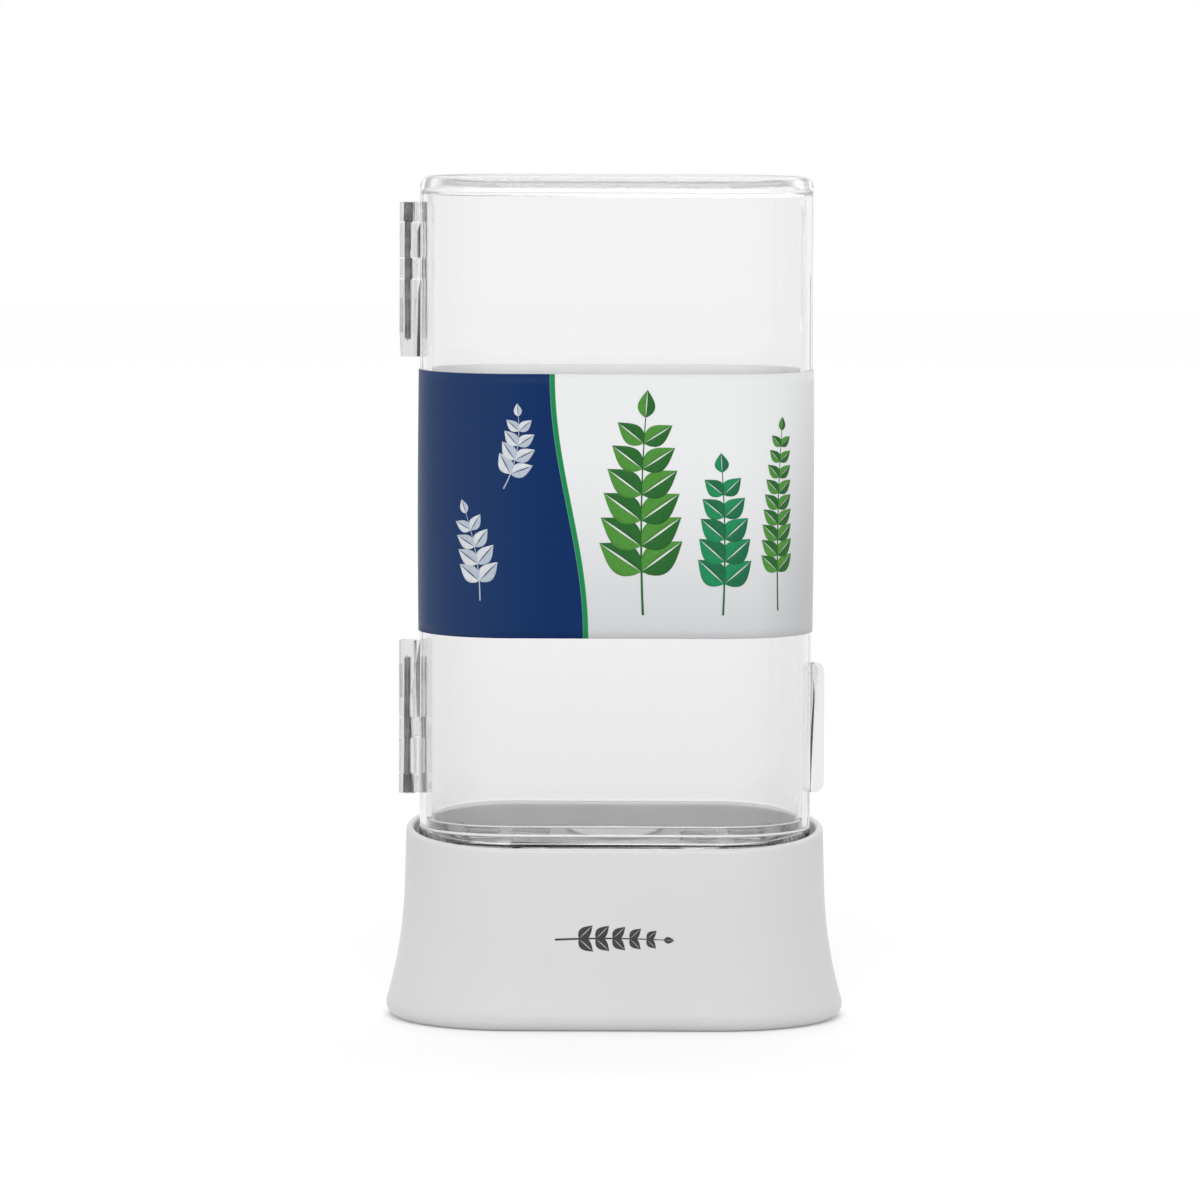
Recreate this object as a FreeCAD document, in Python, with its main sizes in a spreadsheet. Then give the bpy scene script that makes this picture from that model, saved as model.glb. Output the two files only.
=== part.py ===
import FreeCAD, Part
import math
import os
import re

import Sketcher

# Herb keeper: a clear case with a hinged door that stands in a white water base.
# Millimetres. Origin on the floor under the middle, +X to the right, +Y to the back, +Z up.

SIZES = {
    # White base: a stadium in plan that flares at the foot, with a rim that slopes to the front
    "base_width": 136.0,
    "base_depth": 76.0,
    "rim_depth": 63.6,
    "rim_height": 57.0,
    "rim_rise": 7.5,
    "base_wall": 2.3,
    "lip_round": 1.0,
    "neck_height": 38.0,
    "neck_flare": 0.8,
    "foot_round": 4.0,
    "base_floor": 3.5,
    "floor_round": 5.0,
    "foot_ring": 3.0,
    "foot_recess": 1.0,
    "rib_thickness": 2.4,
    "rib_place": 24.0,
    "rib_overlap": 2.9,
    # Clear case: a fixed back half and a door, parted at mid depth
    "overall_height": 250.0,
    "case_depth": 56.4,
    "case_wall": 2.0,
    "ceiling": 2.7,
    "top_round": 3.0,
    "ceiling_round": 3.0,
    "case_bottom": 40.0,
    "parting_gap": 0.4,
    "door_lift": 0.7,
    # Collar inside the foot of the door, and the tongue that seals the parting line
    "collar_height": 59.2,
    "collar_gap": 0.4,
    "collar_wall": 1.6,
    "tongue_gap": 0.35,
    "tongue_thickness": 1.5,
    "tongue_reach": 3.0,
    "tongue_root": 2.0,
    # Finger tab on the door
    "tab_bottom": 67.2,
    "tab_length": 38.8,
    "tab_reach": 4.0,
    "tab_thickness": 2.0,
    "tab_round": 3.0,
    # Two hinges, each of four knuckles counted from the end that holds the pin's head
    "hinge_offset": 3.5,
    "knuckle_width": 5.2,
    "short_knuckle": 5.85,
    "middle_knuckle": 10.3,
    "long_knuckle": 22.8,
    "knuckle_gap": 0.3,
    "upper_hinge_drop": 7.7,
    "lower_hinge_height": 66.5,
    "pin_width": 2.2,
    "pin_length": 40.5,
    "head_width": 2.8,
    "head_inset": 0.1,
    "pin_round": 0.5,
    "fixed_clearance": 0.02,
    "running_clearance": 0.06,
    "relief_width": 0.5,
    "relief_length": 10.0,
    "relief_end": 1.9,
    # Drain tray on a ledge inside the collar
    "tray_seat": 51.0,
    "seat_width": 2.0,
    "seat_thickness": 1.6,
    "tray_gap": 0.4,
    "tray_thickness": 1.6,
    "tray_rim_height": 2.4,
    "tray_rim_wall": 1.2,
    "slot_width": 3.2,
    "slot_length": 11.5,
    "slot_land": 2.5,
    "slot_outset": 9.0,
    "slot_margin": 9.8,
    "post_width": 2.0,
    "post_height": 5.4,
    "post_inset": 7.8,
    # Knob in the middle of the tray
    "disc_width": 29.5,
    "disc_thickness": 1.0,
    "boss_width": 8.5,
    "boss_height": 2.8,
    "stem_width": 5.0,
    "stem_length": 2.2,
    # Card band round the case, between the hinges
    "card_clearance": 0.1,
    "card_thickness": 0.3,
    "card_low_gap": 3.1,
    "card_high_gap": 3.6,
}

SLOT_ROWS = 6

# Sizes that follow from the driving ones
FITS = {
    "straight": "(sizes.base_width - sizes.base_depth) / 2",
    "beyond": "sizes.base_width + sizes.overall_height",
    "half_gap": "sizes.parting_gap / 2",
    "rim_radius": "sizes.rim_depth / 2",
    "neck_radius": "rim_radius + sizes.neck_flare",
    "foot_radius": "sizes.base_depth / 2",
    "rim_tilt": "atan(sizes.rim_rise / sizes.rim_depth)",
    "vessel_top": "sizes.rim_height + sizes.rim_rise",
    "floor_level": "0 * sizes.base_floor",
    "inner_rim": "rim_radius - sizes.base_wall",
    "inner_neck": "neck_radius - sizes.base_wall",
    "inner_foot": "foot_radius - sizes.base_wall",
    "recess_radius": "foot_radius - sizes.foot_round - sizes.foot_ring",
    "case_radius": "sizes.case_depth / 2",
    "case_half": "straight + case_radius",
    "cavity_radius": "case_radius - sizes.case_wall",
    "cavity_half": "straight + cavity_radius",
    "wall_middle": "case_radius - sizes.case_wall / 2",
    "ceiling_level": "sizes.overall_height - sizes.ceiling",
    "door_level": "sizes.rim_height + sizes.door_lift",
    "ledge_level": "door_level - sizes.parting_gap",
    "rib_inner": "case_radius - sizes.rib_overlap",
    "collar_outer": "cavity_radius - sizes.collar_gap",
    "collar_inner": "collar_outer - sizes.collar_wall",
    "seat_radius": "collar_inner - sizes.seat_width",
    "seat_bottom": "sizes.tray_seat - sizes.seat_thickness",
    "tongue_half": "cavity_half - sizes.tongue_gap",
    "tongue_top": "ceiling_level - sizes.tongue_gap",
    "hinge_x": "0 - case_half - sizes.hinge_offset",
    "knuckle_radius": "sizes.knuckle_width / 2",
    "second_start": "sizes.short_knuckle + sizes.knuckle_gap",
    "second_end": "second_start + sizes.middle_knuckle",
    "third_start": "second_end + sizes.knuckle_gap",
    "third_end": "third_start + sizes.short_knuckle",
    "fourth_start": "third_end + sizes.knuckle_gap",
    "hinge_length": "fourth_start + sizes.long_knuckle",
    "upper_head": "sizes.overall_height - sizes.upper_hinge_drop",
    "lower_head": "sizes.lower_hinge_height",
    "tray_radius": "collar_inner - sizes.tray_gap",
    "tray_top": "sizes.tray_seat + sizes.tray_thickness",
    "tray_inner": "tray_radius - sizes.tray_rim_wall",
    "slot_pitch": "2 * (tray_radius - sizes.slot_margin) / 5",
    "slot_radius": "sizes.slot_width / 2",
    "slot_half": "(sizes.slot_length - sizes.slot_width) / 2",
    "slot_outer_x": "straight + sizes.slot_outset",
    "slot_inner_x": "slot_outer_x - sizes.slot_length - sizes.slot_land",
    "post_x": "straight + tray_radius - sizes.post_inset",
    "card_inner": "case_radius + sizes.card_clearance",
    "card_outer": "card_inner + sizes.card_thickness",
    "card_bottom": "lower_head + hinge_length + sizes.card_low_gap",
    "card_top": "upper_head - hinge_length - sizes.card_high_gap",
}

V = FreeCAD.Vector
UP = V(0, 0, 1)
FRONT = -1
BACK = 1

doc = FreeCAD.newDocument("herb_keeper")


def fill_sheet(sheet, cells):
    """Write one row for each named size: its name, then its value under an alias."""
    for row, (name, content) in enumerate(cells.items(), start=1):
        sheet.set(f"A{row}", name)
        sheet.set(f"B{row}", content)
        sheet.setAlias(f"B{row}", name)


sizes = doc.addObject("Spreadsheet::Sheet", "sizes")
fill_sheet(sizes, {name: str(number) for name, number in SIZES.items()})
doc.recompute()
fits = doc.addObject("Spreadsheet::Sheet", "fits")
fill_sheet(fits, {name: "=" + formula for name, formula in FITS.items()})
doc.recompute()


def size(name):
    """The number that a named size has now."""
    sheet = sizes if name in SIZES else fits
    content = sheet.get(name)
    return float(getattr(content, "Value", content))


def linked(text):
    """Put the sheet's name before each size that an expression names."""
    def prefix(match):
        word = match.group(0)
        if word in SIZES:
            return "sizes." + word
        if word in FITS:
            return "fits." + word
        return word
    return re.sub(r"[a-z_]+", prefix, text)


def bind(thing, prop, text):
    """Tie a property, or a named constraint, to an expression of the sizes."""
    thing.setExpression(prop, linked(text))


def constrain(sketch, name, text, kind, *where):
    """Add a dimension to a sketch and tie it to an expression of the sizes."""
    index = sketch.addConstraint(Sketcher.Constraint(kind, *where))
    sketch.renameConstraint(index, name)
    bind(sketch, f"Constraints.{name}", text)


# Plain solids


def block(name, low, high):
    """A box between two corners, each given as three expressions."""
    solid = doc.addObject("Part::Box", name)
    for prop, start, end in zip(("Length", "Width", "Height"), low, high):
        bind(solid, prop, f"({end}) - ({start})")
    for axis, start in zip("xyz", low):
        bind(solid, f".Placement.Base.{axis}", start)
    return solid


def rod(name, x, bottom, top, radius):
    """An upright cylinder at mid depth."""
    solid = doc.addObject("Part::Cylinder", name)
    bind(solid, "Radius", radius)
    bind(solid, "Height", f"({top}) - ({bottom})")
    bind(solid, ".Placement.Base.x", x)
    bind(solid, ".Placement.Base.z", bottom)
    return solid


def stadium_outline(name, half, radius):
    """A level outline of two straights joined by half circles, round the origin."""
    sketch = doc.addObject("Sketcher::SketchObject", name)
    x = size(half)
    r = size(radius)
    quarter = math.pi / 2
    sketch.addGeometry(Part.LineSegment(V(-x, -r, 0), V(x, -r, 0)), False)
    sketch.addGeometry(Part.ArcOfCircle(Part.Circle(V(x, 0, 0), UP, r), -quarter, quarter), False)
    sketch.addGeometry(Part.LineSegment(V(x, r, 0), V(-x, r, 0)), False)
    sketch.addGeometry(Part.ArcOfCircle(Part.Circle(V(-x, 0, 0), UP, r), quarter, 3 * quarter), False)
    for first, second in ((0, 1), (1, 2), (2, 3), (3, 0)):
        sketch.addConstraint(Sketcher.Constraint("Tangent", first, 2, second, 1))
    sketch.addConstraint(Sketcher.Constraint("Horizontal", 0))
    sketch.addConstraint(Sketcher.Constraint("Equal", 1, 3))
    sketch.addConstraint(Sketcher.Constraint("PointOnObject", 1, 3, -1))
    constrain(sketch, "end_radius", radius, "Radius", 1, r)
    constrain(sketch, "right_half", half, "DistanceX", -1, 1, 1, 3, x)
    constrain(sketch, "left_half", half, "DistanceX", 3, 3, -1, 1, x)
    return sketch


def extruded(name, outline, direction, length):
    """A solid drawn out of an outline along a direction."""
    solid = doc.addObject("Part::Extrusion", name)
    solid.Base = outline
    solid.DirMode = "Custom"
    solid.Dir = direction
    solid.Solid = True
    bind(solid, "LengthFwd", length)
    return solid


def prism(name, radius, bottom, top):
    """An upright stadium solid whose straights are as long as the base's."""
    outline = stadium_outline(name + "_outline", "straight", radius)
    bind(outline, ".Placement.Base.z", bottom)
    return extruded(name, outline, UP, f"({top}) - ({bottom})")


def space_above(name, level):
    """A box that fills the space above the slanted plane at this level at mid depth."""
    solid = doc.addObject("Part::Box", name)
    solid.Placement = FreeCAD.Placement(V(), FreeCAD.Rotation(V(1, 0, 0), size("rim_tilt")))
    bind(solid, "Length", "2 * beyond")
    bind(solid, "Width", "2 * beyond")
    bind(solid, "Height", "2 * beyond")
    bind(solid, ".Placement.Rotation.Angle", "rim_tilt")
    bind(solid, ".Placement.Base.x", "0 - beyond")
    bind(solid, ".Placement.Base.y", "0 - beyond * cos(rim_tilt)")
    bind(solid, ".Placement.Base.z", f"{level} - beyond * sin(rim_tilt)")
    return solid


def front_space(name, level, edge):
    """The space in front of an upright plane and above the slanted one."""
    above = space_above(name + "_above", level)
    front = block(name + "_front", ("0 - beyond", "0 - beyond", "0"), ("beyond", edge, "beyond"))
    return common(name, above, front)


# Joining and cutting


def fuse(name, *parts):
    """One solid from several that meet."""
    solid = doc.addObject("Part::MultiFuse", name)
    solid.Shapes = list(parts)
    solid.Refine = True
    return solid


def cut(name, base, tool):
    """What is left of a solid when a tool is taken from it."""
    solid = doc.addObject("Part::Cut", name)
    solid.Base = base
    solid.Tool = tool
    solid.Refine = True
    return solid


def common(name, first, second):
    """What two solids share."""
    solid = doc.addObject("Part::MultiCommon", name)
    solid.Shapes = [first, second]
    solid.Refine = True
    return solid


def rounded(name, base, radius, chosen):
    """Round the edges of a solid whose end and middle points all pass a test."""
    doc.recompute()
    picked = []
    for index, edge in enumerate(base.Shape.Edges, start=1):
        middle = (edge.FirstParameter + edge.LastParameter) / 2
        points = [vertex.Point for vertex in edge.Vertexes]
        points.append(edge.valueAt(middle))
        if all(chosen(point) for point in points):
            picked.append((index, size(radius), size(radius)))
    if not picked:
        raise RuntimeError(f"{name}: no edge to round")
    solid = doc.addObject("Part::Fillet", name)
    solid.Base = base
    solid.Edges = picked
    return solid


def at_height(level):
    """A test for points at one height."""
    return lambda point: abs(point.z - size(level)) < 1e-4


# White base


def vessel_outline(name, side, rim, neck, foot, floor, corner):
    """Half a section of the base from its axis out: a steep neck, a hollow flare and a round foot.

    The flare is an arc that leaves the neck and meets the foot's arc without a corner.
    """
    sketch = doc.addObject("Sketcher::SketchObject", name)
    sketch.Placement = FreeCAD.Placement(V(), FreeCAD.Rotation(V(0, side, 0), UP, V(side, 0, 0), "XYZ"))
    floor_level = size(floor)
    top = V(size(rim), size("vessel_top") - floor_level, 0)
    start = V(size(neck), size("neck_height") - floor_level, 0)
    foot_centre = V(size(foot) - size(corner), size(corner), 0)
    neck_length = top.distanceToPoint(start)
    outward = V((top.y - start.y) / neck_length, (start.x - top.x) / neck_length, 0)
    offset = start - foot_centre
    corner_radius = size(corner)
    flare_radius = (offset.Length ** 2 - corner_radius ** 2) / (2 * (corner_radius - offset.dot(outward)))
    flare_centre = start + outward * flare_radius
    between = flare_centre - foot_centre
    meeting = math.atan2(between.y, between.x)
    leaving = math.pi + math.atan2(outward.y, outward.x)
    flare = Part.Circle(flare_centre, UP, flare_radius)
    foot_arc = Part.Circle(foot_centre, UP, corner_radius)
    sketch.addGeometry(Part.LineSegment(top, start), False)
    sketch.addGeometry(Part.ArcOfCircle(flare, leaving, math.pi + meeting), False)
    sketch.addGeometry(Part.ArcOfCircle(foot_arc, -math.pi / 2, meeting), False)
    sketch.addGeometry(Part.LineSegment(V(foot_centre.x, 0, 0), V(0, 0, 0)), False)
    sketch.addGeometry(Part.LineSegment(V(0, 0, 0), V(0, top.y, 0)), False)
    sketch.addGeometry(Part.LineSegment(V(0, top.y, 0), top), False)
    sketch.addConstraint(Sketcher.Constraint("Tangent", 0, 2, 1, 1))
    sketch.addConstraint(Sketcher.Constraint("Tangent", 1, 2, 2, 2))
    sketch.addConstraint(Sketcher.Constraint("Tangent", 2, 1, 3, 1))
    sketch.addConstraint(Sketcher.Constraint("Coincident", 3, 2, 4, 1))
    sketch.addConstraint(Sketcher.Constraint("Coincident", 4, 2, 5, 1))
    sketch.addConstraint(Sketcher.Constraint("Coincident", 5, 2, 0, 1))
    sketch.addConstraint(Sketcher.Constraint("Coincident", 3, 2, -1, 1))
    sketch.addConstraint(Sketcher.Constraint("Horizontal", 3))
    sketch.addConstraint(Sketcher.Constraint("Vertical", 4))
    sketch.addConstraint(Sketcher.Constraint("Horizontal", 5))
    constrain(sketch, "rim", rim, "DistanceX", -1, 1, 0, 1, top.x)
    constrain(sketch, "height", f"vessel_top - {floor}", "DistanceY", -1, 1, 0, 1, top.y)
    constrain(sketch, "neck", neck, "DistanceX", -1, 1, 0, 2, start.x)
    constrain(sketch, "neck_rise", f"neck_height - {floor}", "DistanceY", -1, 1, 0, 2, start.y)
    constrain(sketch, "corner", corner, "Radius", 2, corner_radius)
    constrain(sketch, "foot", f"{foot} - {corner}", "DistanceX", -1, 1, 2, 3, foot_centre.x)
    bind(sketch, ".Placement.Base.z", floor)
    bind(sketch, ".Placement.Base.x", "straight" if side == FRONT else "0 - straight")
    return sketch


def vessel(name, *section):
    """A stadium solid with the base's section all round: two turned ends and the straights between."""
    pieces = []
    for side, word in ((FRONT, "front"), (BACK, "back")):
        outline = vessel_outline(f"{name}_{word}_outline", side, *section)
        end = doc.addObject("Part::Revolution", f"{name}_{word}_end")
        end.Source = outline
        end.Axis = UP
        end.Solid = True
        end.Angle = 180
        bind(end, ".Base.x", "straight" if side == FRONT else "0 - straight")
        pieces.append(end)
        pieces.append(extruded(f"{name}_{word}_straight", outline, V(side, 0, 0), "2 * straight"))
    return fuse(name, *pieces)


def support_ribs():
    """Six upright ribs inside the base, whose tops carry the case."""
    half = "rib_thickness / 2"
    ribs = []
    for side, word in ((1, "right"), (-1, "left")):
        near = f"{side} * rib_place"
        for face, low, high in (("front", "0 - beyond", "0 - rib_inner"), ("back", "rib_inner", "beyond")):
            low_corner = (f"{near} - {half}", low, "0")
            high_corner = (f"{near} + {half}", high, "case_bottom")
            ribs.append(block(f"rib_{word}_{face}", low_corner, high_corner))
        ends = ("straight + rib_inner", "beyond") if side > 0 else ("0 - beyond", "0 - straight - rib_inner")
        low_corner = (ends[0], f"0 - {half}", "0")
        high_corner = (ends[1], half, "case_bottom")
        ribs.append(block(f"rib_{word}_end", low_corner, high_corner))
    return fuse("ribs", *ribs)


def make_water_base():
    """The white base: a hollow vessel with a round lip, a foot ring and ribs."""
    outside = vessel("vessel", "rim_radius", "neck_radius", "foot_radius", "floor_level", "foot_round")
    inside = vessel("water_space", "inner_rim", "inner_neck", "inner_foot", "base_floor", "floor_round")
    hollow = cut("hollow_vessel", outside, cut("ribbed_space", inside, support_ribs()))
    trimmed = cut("trimmed_vessel", hollow, space_above("over_rim", "rim_height"))
    recess = prism("foot_hollow", "recess_radius", "0 - foot_recess", "foot_recess")
    standing = cut("standing_vessel", trimmed, recess)

    def on_rim(point):
        plane = size("rim_height") + point.y * math.tan(math.radians(size("rim_tilt")))
        return abs(point.z - plane) < 1e-4

    return rounded("water_base", standing, "lip_round", on_rim)


# Hinges


HINGES = {"upper": ("upper_head", -1), "lower": ("lower_head", 1)}


def hinge_span(which, start, end):
    """The heights of a stretch of a hinge, counted from the end that holds the pin's head."""
    head, direction = HINGES[which]
    if direction > 0:
        return f"{head} + ({start})", f"{head} + ({end})"
    return f"{head} - ({end})", f"{head} - ({start})"


def knuckle(name, which, side, start, end):
    """One knuckle: a barrel, and the web that joins it to its half of the case."""
    bottom, top = hinge_span(which, start, end)
    barrel = rod(name + "_barrel", "hinge_x", bottom, top, "knuckle_radius")
    depths = ("half_gap", "knuckle_radius") if side == BACK else ("0 - knuckle_radius", "0 - half_gap")
    low = ("hinge_x", depths[0], bottom)
    high = ("hinge_x + hinge_offset + case_wall / 2", depths[1], top)
    return fuse(name, barrel, block(name + "_web", low, high))


def back_knuckles(which):
    """The first and third knuckles, on the fixed half."""
    first = knuckle(f"{which}_first_knuckle", which, BACK, "0", "short_knuckle")
    third = knuckle(f"{which}_third_knuckle", which, BACK, "third_start", "third_end")
    return [first, third]


def door_knuckles(which):
    """The second and fourth knuckles, on the door."""
    second = knuckle(f"{which}_second_knuckle", which, FRONT, "second_start", "second_end")
    fourth = knuckle(f"{which}_fourth_knuckle", which, FRONT, "fourth_start", "hinge_length")
    return [second, fourth]


def back_bores(which):
    """Bores that grip the pin's head and shank in the fixed half."""
    head = hinge_span(which, "0 - knuckle_gap", "second_start")
    shank = hinge_span(which, "second_end", "fourth_start")
    wide = rod(f"{which}_head_bore", "hinge_x", *head, "head_width / 2 + fixed_clearance")
    narrow = rod(f"{which}_shank_bore", "hinge_x", *shank, "pin_width / 2 + fixed_clearance")
    return [wide, narrow]


def door_bores(which):
    """The running bore in the door, blind in the fourth knuckle, with a narrow relief slot there."""
    span = hinge_span(which, "short_knuckle", "pin_length + knuckle_gap")
    bore = rod(f"{which}_door_bore", "hinge_x", *span, "pin_width / 2 + running_clearance")
    bottom, top = hinge_span(which, "pin_length - relief_end - relief_length", "pin_length - relief_end")
    low = ("hinge_x - knuckle_width", "0 - relief_width / 2", bottom)
    high = ("hinge_x", "relief_width / 2", top)
    return [bore, block(f"{which}_relief", low, high)]


def make_hinge_pin(which):
    """A pin with a wider head at one end and a round end in the blind knuckle."""
    head = rod(f"{which}_head", "hinge_x", *hinge_span(which, "head_inset", "short_knuckle"), "head_width / 2")
    shank = rod(f"{which}_shank", "hinge_x", *hinge_span(which, "head_inset", "pin_length"), "pin_width / 2")
    tip = size(HINGES[which][0]) + HINGES[which][1] * size("pin_length")
    round_shank = rounded(f"{which}_round_shank", shank, "pin_round", lambda point: abs(point.z - tip) < 1e-4)
    return fuse(f"{which}_hinge_pin", head, round_shank)


# Clear case


def case_walls():
    """The whole case before it is parted: a thin stadium can, open below."""
    outside = prism("case_block", "case_radius", "case_bottom", "overall_height")
    inside = prism("case_cavity", "cavity_radius", "case_bottom - case_wall", "ceiling_level")
    round_outside = rounded("round_case_block", outside, "top_round", at_height("overall_height"))
    round_inside = rounded("round_case_cavity", inside, "ceiling_round", at_height("ceiling_level"))
    return cut("case_walls", round_outside, round_inside)


def collar_ring():
    """The thick ring in the foot of the case: a ledge for the tray and a collar above it."""
    ring = prism("collar_block", "wall_middle", "seat_bottom", "collar_height")
    bowl = prism("collar_bore", "collar_inner", "tray_seat", "collar_height + case_wall")
    hole = prism("seat_bore", "seat_radius", "seat_bottom - case_wall", "tray_seat + case_wall")
    return cut("collar_ring", ring, fuse("collar_spaces", bowl, hole))


def closing_tongue():
    """The frame at the parting line that reaches behind the edges of the door."""
    foot = "ledge_level"
    reach = ("0 - tongue_half", "0 - tongue_reach", foot), ("tongue_half", "half_gap", "tongue_top")
    lip = block("tongue_lip", *reach)
    half = "(cavity_half + case_wall / 4)"
    root_low = (f"0 - {half}", "half_gap", foot)
    root_high = (half, "tongue_root", "ceiling_level + ceiling / 4")
    root = block("tongue_root_frame", root_low, root_high)

    def top_corner(point):
        return abs(point.z - size("tongue_top")) < 1e-4 and abs(abs(point.x) - size("tongue_half")) < 1e-4

    round_lip = rounded("round_tongue_lip", lip, "ceiling_round", top_corner)
    inner = "(tongue_half - tongue_thickness)"
    hole_low = (f"0 - {inner}", "0 - beyond", "0")
    hole_high = (inner, "beyond", "tongue_top - tongue_thickness")
    return cut("closing_tongue", fuse("tongue_block", round_lip, root), block("tongue_hole", hole_low, hole_high))


def make_back_shell(walls):
    """The fixed half: the back wall, the full plug and collar, the tongue and two knuckles a hinge."""
    full = fuse("case_and_collar", walls, collar_ring())
    core = prism("collar_core", "collar_outer", "0", "beyond")
    door_space = cut("door_space", front_space("door_side", "ledge_level", "half_gap"), core)
    front_top = block("above_collar", ("0 - beyond", "0 - beyond", "collar_height"), ("beyond", "half_gap", "beyond"))
    opened = cut("opened_case", full, fuse("door_room", door_space, front_top))
    knuckles = back_knuckles("upper") + back_knuckles("lower")
    solid = fuse("back_shell_blank", opened, closing_tongue(), *knuckles)
    return cut("back_shell", solid, fuse("back_bores", *back_bores("upper"), *back_bores("lower")))


def finger_tab():
    """A flat tab on the free edge of the door, with round outer corners."""
    low = ("case_half - case_wall / 2", "0 - half_gap - tab_thickness", "tab_bottom")
    high = ("case_half + tab_reach", "0 - half_gap", "tab_bottom + tab_length")
    plate = block("tab_plate", low, high)
    outer = size("case_half") + size("tab_reach")
    ends = (size("tab_bottom"), size("tab_bottom") + size("tab_length"))

    def outer_corner(point):
        return abs(point.x - outer) < 1e-4 and any(abs(point.z - end) < 1e-4 for end in ends)

    return rounded("finger_tab", plate, "tab_round", outer_corner)


def make_door(walls):
    """The front half: it hangs on two knuckles a hinge and carries the finger tab."""
    panel = common("door_panel", walls, front_space("door_part", "door_level", "0 - half_gap"))
    knuckles = door_knuckles("upper") + door_knuckles("lower")
    solid = fuse("door_blank", panel, finger_tab(), *knuckles)
    return cut("door", solid, fuse("door_bores", *door_bores("upper"), *door_bores("lower")))


# Drain tray and its knob


def tray_slots():
    """Rows of round-ended slots on both sides of the knob."""
    outline = stadium_outline("slot_outline", "slot_half", "slot_radius")
    pattern = []
    for side in (-1, 1):
        for column in ("slot_inner_x", "slot_outer_x"):
            for row in range(SLOT_ROWS):
                place = row - (SLOT_ROWS - 1) / 2
                slot = extruded(f"slot_{len(pattern) + 1}", outline, UP, "2 * tray_thickness")
                bind(slot, ".Placement.Base.x", f"{side} * {column}")
                bind(slot, ".Placement.Base.y", f"{place} * slot_pitch")
                bind(slot, ".Placement.Base.z", "tray_seat - tray_thickness / 2")
                pattern.append(slot)
    return fuse("tray_slots", *pattern)


def tray_post(word, side):
    """A small upright post with a round top near one end of the tray."""
    post = rod(f"{word}_post", f"{side} * post_x", "tray_seat", "tray_top + post_height", "post_width / 2")
    top = size("tray_top") + size("post_height")
    cap = rounded(f"{word}_round_post", post, "pin_round", lambda point: abs(point.z - top) < 1e-4)
    return cap


def make_drain_tray():
    """A shallow slotted tray with a low rim, two posts and a bore for the knob."""
    body = prism("tray_block", "tray_radius", "tray_seat", "tray_seat + tray_rim_height")
    dish = prism("tray_dish", "tray_inner", "tray_top", "tray_seat + 2 * tray_rim_height")
    bore = rod("stem_bore", "0", "tray_seat - stem_length", "tray_top + stem_length", "stem_width / 2 + fixed_clearance")
    plate = cut("tray_plate", body, fuse("tray_openings", dish, tray_slots(), bore))
    return fuse("drain_tray", plate, tray_post("left", -1), tray_post("right", 1))


def make_tray_knob():
    """A flat disc with a boss to pull on and a stem that plugs into the tray."""
    disc = rod("knob_disc", "0", "tray_top", "tray_top + disc_thickness", "disc_width / 2")
    boss = rod("knob_boss", "0", "tray_top", "tray_top + disc_thickness + boss_height", "boss_width / 2")
    stem = rod("knob_stem", "0", "tray_top - stem_length", "tray_top + disc_thickness", "stem_width / 2")
    top = size("tray_top") + size("disc_thickness") + size("boss_height")
    round_boss = rounded("round_knob_boss", boss, "lip_round", lambda point: abs(point.z - top) < 1e-4)
    return fuse("tray_knob", disc, round_boss, stem)


# Card band


def make_card(name, ring, low, high):
    """One half of the card band, which is parted where the case is."""
    return common(name, ring, block(name + "_side", ("0 - beyond", low, "0"), ("beyond", high, "beyond")))


def card_ring():
    """The whole card band round the case."""
    outside = prism("card_block", "card_outer", "card_bottom", "card_top")
    inside = prism("card_space", "card_inner", "card_bottom - card_low_gap", "card_top + card_high_gap")
    return cut("card_ring", outside, inside)


def build():
    """Make every piece of the herb keeper and return them by name."""
    walls = case_walls()
    card = card_ring()
    return [
        make_water_base(),
        make_back_shell(walls),
        make_door(walls),
        make_hinge_pin("upper"),
        make_hinge_pin("lower"),
        make_drain_tray(),
        make_tray_knob(),
        make_card("card_front", card, "0 - beyond", "0 - half_gap"),
        make_card("card_back", card, "half_gap", "beyond"),
    ]


nodes = build()
doc.recompute()

for thing in doc.Objects:
    if "Invalid" in thing.State or "Error" in thing.State:
        raise RuntimeError(f"{thing.Name} failed: {thing.State}")

os.makedirs("parts", exist_ok=True)
for node in nodes:
    node.Label = node.Name
    shape = node.Shape
    if shape.isNull() or not shape.isValid() or len(shape.Solids) != 1:
        raise RuntimeError(f"{node.Label} is not one valid solid: {len(shape.Solids)} solids")
    shape.exportStep(f"parts/{node.Label}.step")
    box = shape.BoundBox
    print(f"{node.Label}: volume {shape.Volume:.1f}, z {box.ZMin:.2f} to {box.ZMax:.2f}, x {box.XMin:.2f} to {box.XMax:.2f}")
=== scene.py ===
import logging
import math
from dataclasses import dataclass, field, replace
from enum import Enum
from typing import Sequence

import bmesh
import bpy
import numpy as np
from mathutils import Matrix, Vector


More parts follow.
